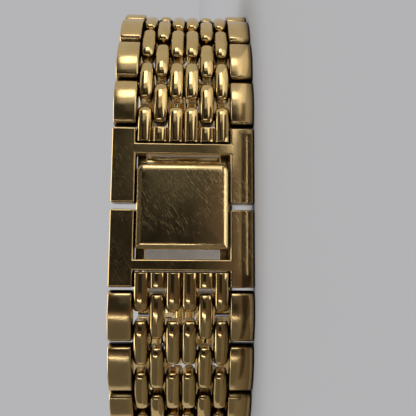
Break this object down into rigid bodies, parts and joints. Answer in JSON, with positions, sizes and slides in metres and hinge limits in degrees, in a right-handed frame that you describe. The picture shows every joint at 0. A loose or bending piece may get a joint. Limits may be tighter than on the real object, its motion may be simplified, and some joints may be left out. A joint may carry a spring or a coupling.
{
  "type": "wristwatch",
  "caption": "Rectangular wristwatch on a gold-tone link bracelet with a folding butterfly clasp, closed and lying on its side.",
  "frame": {"origin": "middle of the closed loop on the surface it lies on", "axes": "+Z across the bracelet towards the crown, +Y towards the dial, +X towards 12 o'clock"},
  "size_m": [0.0646, 0.0392, 0.0201],
  "materials": {
    "link_gold": "polished inner links, satin outer links",
    "clasp_gold": "polished, lightly scratched",
    "cover_gold": "polished, lightly scratched",
    "case_gold": "polished",
    "hand_gold": "polished",
    "pin_steel": "turned",
    "back_steel": "brushed",
    "gasket_rubber": "matte",
    "crystal_glass": "clear",
    "dial_face": "satin",
    "movement_brass": "plated",
    "holder_plastic": "moulded"
  },
  "bodies": {
    "clasp_base": {"clasp_base": "clasp_gold", "clasp_cover_plate": "cover_gold"},
    "clasp_arm_12": {"clasp_arm_12": "clasp_gold", "arm_hinge_pin_12": "pin_steel"},
    "clasp_frame_12": {"clasp_frame_12": "clasp_gold", "clasp_comb_pin_12": "pin_steel"},
    "clasp_comb_12": {"clasp_comb_12": "link_gold"},
    "carrier_row_12_1": {"carrier_row_12_1": "link_gold"},
    "bridging_row_12_1": {"bridging_row_12_1": "link_gold"},
    "carrier_row_12_2": {"carrier_row_12_2": "link_gold"},
    "bridging_row_12_2": {"bridging_row_12_2": "link_gold"},
    "carrier_row_12_3": {"carrier_row_12_3": "link_gold"},
    "bridging_row_12_3": {"bridging_row_12_3": "link_gold"},
    "carrier_row_12_4": {"carrier_row_12_4": "link_gold"},
    "bridging_row_12_4": {"bridging_row_12_4": "link_gold"},
    "carrier_row_12_5": {"carrier_row_12_5": "link_gold"},
    "bridging_row_12_5": {"bridging_row_12_5": "link_gold"},
    "carrier_row_12_6": {"carrier_row_12_6": "link_gold"},
    "bridging_row_12_6": {"bridging_row_12_6": "link_gold"},
    "carrier_row_12_7": {"carrier_row_12_7": "link_gold"},
    "bridging_row_12_7": {"bridging_row_12_7": "link_gold"},
    "carrier_row_12_8": {"carrier_row_12_8": "link_gold"},
    "case_comb_12": {"case_comb_12": "link_gold", "spring_bar_12": "pin_steel"},
    "clasp_arm_6": {"clasp_arm_6": "clasp_gold", "arm_hinge_pin_6": "pin_steel"},
    "clasp_frame_6": {"clasp_frame_6": "clasp_gold", "clasp_comb_pin_6": "pin_steel"},
    "clasp_comb_6": {"clasp_comb_6": "link_gold"},
    "carrier_row_6_1": {"carrier_row_6_1": "link_gold"},
    "bridging_row_6_1": {"bridging_row_6_1": "link_gold"},
    "carrier_row_6_2": {"carrier_row_6_2": "link_gold"},
    "bridging_row_6_2": {"bridging_row_6_2": "link_gold"},
    "carrier_row_6_3": {"carrier_row_6_3": "link_gold"},
    "bridging_row_6_3": {"bridging_row_6_3": "link_gold"},
    "carrier_row_6_4": {"carrier_row_6_4": "link_gold"},
    "bridging_row_6_4": {"bridging_row_6_4": "link_gold"},
    "carrier_row_6_5": {"carrier_row_6_5": "link_gold"},
    "bridging_row_6_5": {"bridging_row_6_5": "link_gold"},
    "carrier_row_6_6": {"carrier_row_6_6": "link_gold"},
    "bridging_row_6_6": {"bridging_row_6_6": "link_gold"},
    "carrier_row_6_7": {"carrier_row_6_7": "link_gold"},
    "bridging_row_6_7": {"bridging_row_6_7": "link_gold"},
    "carrier_row_6_8": {"carrier_row_6_8": "link_gold"},
    "case_comb_6": {"case_comb_6": "link_gold"},
    "case": {"case_middle": "case_gold", "case_back": "back_steel", "back_screws": "back_steel", "back_gasket": "gasket_rubber", "crystal": "crystal_glass", "crystal_gasket": "gasket_rubber", "dial": "dial_face", "movement": "movement_brass", "movement_holder": "holder_plastic", "battery": "back_steel", "spring_bar_6": "pin_steel"},
    "minute_hand": {"minute_hand": "hand_gold"},
    "hour_hand": {"hour_hand": "hand_gold"},
    "winding_stem": {"winding_stem": "pin_steel"},
    "crown": {"crown": "case_gold"}
  },
  "joints": [
    {"name": "arm_12_fold", "type": "hinge", "parent": "clasp_base", "child": "clasp_arm_12", "pos_m": [0.0074, -0.01646, 0.009], "axis": [0, 0, 1], "range_deg": [0, 170]},
    {"name": "frame_12_tilt", "type": "hinge", "parent": "clasp_arm_12", "child": "clasp_frame_12", "pos_m": [0.0015, -0.01646, 0.009], "axis": [0, 0, 1], "range_deg": [-170, 0]},
    {"name": "clasp_comb_12_hinge", "type": "hinge", "parent": "clasp_frame_12", "child": "clasp_comb_12", "pos_m": [0.0092, -0.01826, 0.009], "axis": [0, 0, -1], "range_deg": [0, 5.6]},
    {"name": "carrier_row_12_1_hinge", "type": "hinge", "parent": "clasp_comb_12", "child": "carrier_row_12_1", "pos_m": [0.01189, -0.0181, 0.009], "axis": [0, 0, -1], "range_deg": [0, 9.13]},
    {"name": "bridging_row_12_1_hinge", "type": "hinge", "parent": "carrier_row_12_1", "child": "bridging_row_12_1", "pos_m": [0.01516, -0.01765, 0.009], "axis": [0, 0, -1], "range_deg": [0, 10.23]},
    {"name": "carrier_row_12_2_hinge", "type": "hinge", "parent": "bridging_row_12_1", "child": "carrier_row_12_2", "pos_m": [0.01838, -0.01691, 0.009], "axis": [0, 0, -1], "range_deg": [0, 11.88]},
    {"name": "bridging_row_12_2_hinge", "type": "hinge", "parent": "carrier_row_12_2", "child": "bridging_row_12_2", "pos_m": [0.02148, -0.01579, 0.009], "axis": [0, 0, -1], "range_deg": [0, 13.86]},
    {"name": "carrier_row_12_3_hinge", "type": "hinge", "parent": "bridging_row_12_2", "child": "carrier_row_12_3", "pos_m": [0.02438, -0.01421, 0.009], "axis": [0, 0, -1], "range_deg": [0, 15.88]},
    {"name": "bridging_row_12_3_hinge", "type": "hinge", "parent": "carrier_row_12_3", "child": "bridging_row_12_3", "pos_m": [0.02692, -0.0121, 0.009], "axis": [0, 0, -1], "range_deg": [0, 17.61]},
    {"name": "carrier_row_12_4_hinge", "type": "hinge", "parent": "bridging_row_12_3", "child": "carrier_row_12_4", "pos_m": [0.02895, -0.0095, 0.009], "axis": [0, 0, -1], "range_deg": [0, 18.76]},
    {"name": "bridging_row_12_4_hinge", "type": "hinge", "parent": "carrier_row_12_4", "child": "bridging_row_12_4", "pos_m": [0.03029, -0.00648, 0.009], "axis": [0, 0, -1], "range_deg": [0, 19.16]},
    {"name": "carrier_row_12_5_hinge", "type": "hinge", "parent": "bridging_row_12_4", "child": "carrier_row_12_5", "pos_m": [0.03086, -0.00323, 0.009], "axis": [0, 0, -1], "range_deg": [0, 18.77]},
    {"name": "bridging_row_12_5_hinge", "type": "hinge", "parent": "carrier_row_12_5", "child": "bridging_row_12_5", "pos_m": [0.03064, 0.00006, 0.009], "axis": [0, 0, -1], "range_deg": [0, 17.7]},
    {"name": "carrier_row_12_6_hinge", "type": "hinge", "parent": "bridging_row_12_5", "child": "carrier_row_12_6", "pos_m": [0.0297, 0.00322, 0.009], "axis": [0, 0, -1], "range_deg": [0, 16.17]},
    {"name": "bridging_row_12_6_hinge", "type": "hinge", "parent": "carrier_row_12_6", "child": "bridging_row_12_6", "pos_m": [0.02816, 0.00614, 0.009], "axis": [0, 0, -1], "range_deg": [0, 14.48]},
    {"name": "carrier_row_12_7_hinge", "type": "hinge", "parent": "bridging_row_12_6", "child": "carrier_row_12_7", "pos_m": [0.02616, 0.00877, 0.009], "axis": [0, 0, -1], "range_deg": [0, 12.93]},
    {"name": "bridging_row_12_7_hinge", "type": "hinge", "parent": "carrier_row_12_7", "child": "bridging_row_12_7", "pos_m": [0.02382, 0.0111, 0.009], "axis": [0, 0, -1], "range_deg": [0, 11.76]},
    {"name": "carrier_row_12_8_hinge", "type": "hinge", "parent": "bridging_row_12_7", "child": "carrier_row_12_8", "pos_m": [0.02123, 0.01313, 0.009], "axis": [0, 0, -1], "range_deg": [0, 11.11]},
    {"name": "case_comb_12_hinge", "type": "hinge", "parent": "carrier_row_12_8", "child": "case_comb_12", "pos_m": [0.01843, 0.01488, 0.009], "axis": [0, 0, -1], "range_deg": [0, 10.95]},
    {"name": "arm_6_fold", "type": "hinge", "parent": "clasp_base", "child": "clasp_arm_6", "pos_m": [-0.0074, -0.01646, 0.009], "axis": [0, 0, -1], "range_deg": [0, 170]},
    {"name": "frame_6_tilt", "type": "hinge", "parent": "clasp_arm_6", "child": "clasp_frame_6", "pos_m": [-0.0015, -0.01646, 0.009], "axis": [0, 0, -1], "range_deg": [-170, 0]},
    {"name": "clasp_comb_6_hinge", "type": "hinge", "parent": "clasp_frame_6", "child": "clasp_comb_6", "pos_m": [-0.0092, -0.01826, 0.009], "axis": [0, 0, 1], "range_deg": [0, 5.6]},
    {"name": "carrier_row_6_1_hinge", "type": "hinge", "parent": "clasp_comb_6", "child": "carrier_row_6_1", "pos_m": [-0.01189, -0.0181, 0.009], "axis": [0, 0, 1], "range_deg": [0, 9.13]},
    {"name": "bridging_row_6_1_hinge", "type": "hinge", "parent": "carrier_row_6_1", "child": "bridging_row_6_1", "pos_m": [-0.01516, -0.01765, 0.009], "axis": [0, 0, 1], "range_deg": [0, 10.23]},
    {"name": "carrier_row_6_2_hinge", "type": "hinge", "parent": "bridging_row_6_1", "child": "carrier_row_6_2", "pos_m": [-0.01838, -0.01691, 0.009], "axis": [0, 0, 1], "range_deg": [0, 11.88]},
    {"name": "bridging_row_6_2_hinge", "type": "hinge", "parent": "carrier_row_6_2", "child": "bridging_row_6_2", "pos_m": [-0.02148, -0.01579, 0.009], "axis": [0, 0, 1], "range_deg": [0, 13.86]},
    {"name": "carrier_row_6_3_hinge", "type": "hinge", "parent": "bridging_row_6_2", "child": "carrier_row_6_3", "pos_m": [-0.02438, -0.01421, 0.009], "axis": [0, 0, 1], "range_deg": [0, 15.88]},
    {"name": "bridging_row_6_3_hinge", "type": "hinge", "parent": "carrier_row_6_3", "child": "bridging_row_6_3", "pos_m": [-0.02692, -0.0121, 0.009], "axis": [0, 0, 1], "range_deg": [0, 17.61]},
    {"name": "carrier_row_6_4_hinge", "type": "hinge", "parent": "bridging_row_6_3", "child": "carrier_row_6_4", "pos_m": [-0.02895, -0.0095, 0.009], "axis": [0, 0, 1], "range_deg": [0, 18.76]},
    {"name": "bridging_row_6_4_hinge", "type": "hinge", "parent": "carrier_row_6_4", "child": "bridging_row_6_4", "pos_m": [-0.03029, -0.00648, 0.009], "axis": [0, 0, 1], "range_deg": [0, 19.16]},
    {"name": "carrier_row_6_5_hinge", "type": "hinge", "parent": "bridging_row_6_4", "child": "carrier_row_6_5", "pos_m": [-0.03086, -0.00323, 0.009], "axis": [0, 0, 1], "range_deg": [0, 18.77]},
    {"name": "bridging_row_6_5_hinge", "type": "hinge", "parent": "carrier_row_6_5", "child": "bridging_row_6_5", "pos_m": [-0.03064, 0.00006, 0.009], "axis": [0, 0, 1], "range_deg": [0, 17.7]},
    {"name": "carrier_row_6_6_hinge", "type": "hinge", "parent": "bridging_row_6_5", "child": "carrier_row_6_6", "pos_m": [-0.0297, 0.00322, 0.009], "axis": [0, 0, 1], "range_deg": [0, 16.17]},
    {"name": "bridging_row_6_6_hinge", "type": "hinge", "parent": "carrier_row_6_6", "child": "bridging_row_6_6", "pos_m": [-0.02816, 0.00614, 0.009], "axis": [0, 0, 1], "range_deg": [0, 14.48]},
    {"name": "carrier_row_6_7_hinge", "type": "hinge", "parent": "bridging_row_6_6", "child": "carrier_row_6_7", "pos_m": [-0.02616, 0.00877, 0.009], "axis": [0, 0, 1], "range_deg": [0, 12.93]},
    {"name": "bridging_row_6_7_hinge", "type": "hinge", "parent": "carrier_row_6_7", "child": "bridging_row_6_7", "pos_m": [-0.02382, 0.0111, 0.009], "axis": [0, 0, 1], "range_deg": [0, 11.76]},
    {"name": "carrier_row_6_8_hinge", "type": "hinge", "parent": "bridging_row_6_7", "child": "carrier_row_6_8", "pos_m": [-0.02123, 0.01313, 0.009], "axis": [0, 0, 1], "range_deg": [0, 11.11]},
    {"name": "case_comb_6_hinge", "type": "hinge", "parent": "carrier_row_6_8", "child": "case_comb_6", "pos_m": [-0.01843, 0.01488, 0.009], "axis": [0, 0, 1], "range_deg": [0, 10.95]},
    {"name": "case_hinge", "type": "hinge", "parent": "case_comb_6", "child": "case", "pos_m": [-0.016, 0.01606, 0.009], "axis": [0, 0, 1], "range_deg": [0, 8.03]},
    {"name": "minute_hand_turn", "type": "hinge", "parent": "case", "child": "minute_hand", "pos_m": [0, 0.01791, 0.009], "axis": [0, -1, 0], "continuous": true},
    {"name": "hour_hand_turn", "type": "hinge", "parent": "case", "child": "hour_hand", "pos_m": [0, 0.01791, 0.009], "axis": [0, -1, 0], "continuous": true},
    {"name": "stem_pull", "type": "slide", "parent": "case", "child": "winding_stem", "axis": [0, 0, 1], "range_m": [0, 0.0008]},
    {"name": "crown_turn", "type": "hinge", "parent": "winding_stem", "child": "crown", "pos_m": [0.002, 0.01626, 0.018], "axis": [0, 0, 1], "continuous": true}
  ],
  "couplings": [
    {"joint": "frame_12_tilt", "follows": "arm_12_fold", "ratio": -1},
    {"joint": "frame_6_tilt", "follows": "arm_6_fold", "ratio": -1},
    {"joint": "hour_hand_turn", "follows": "minute_hand_turn", "ratio": 0.083333}
  ]
}
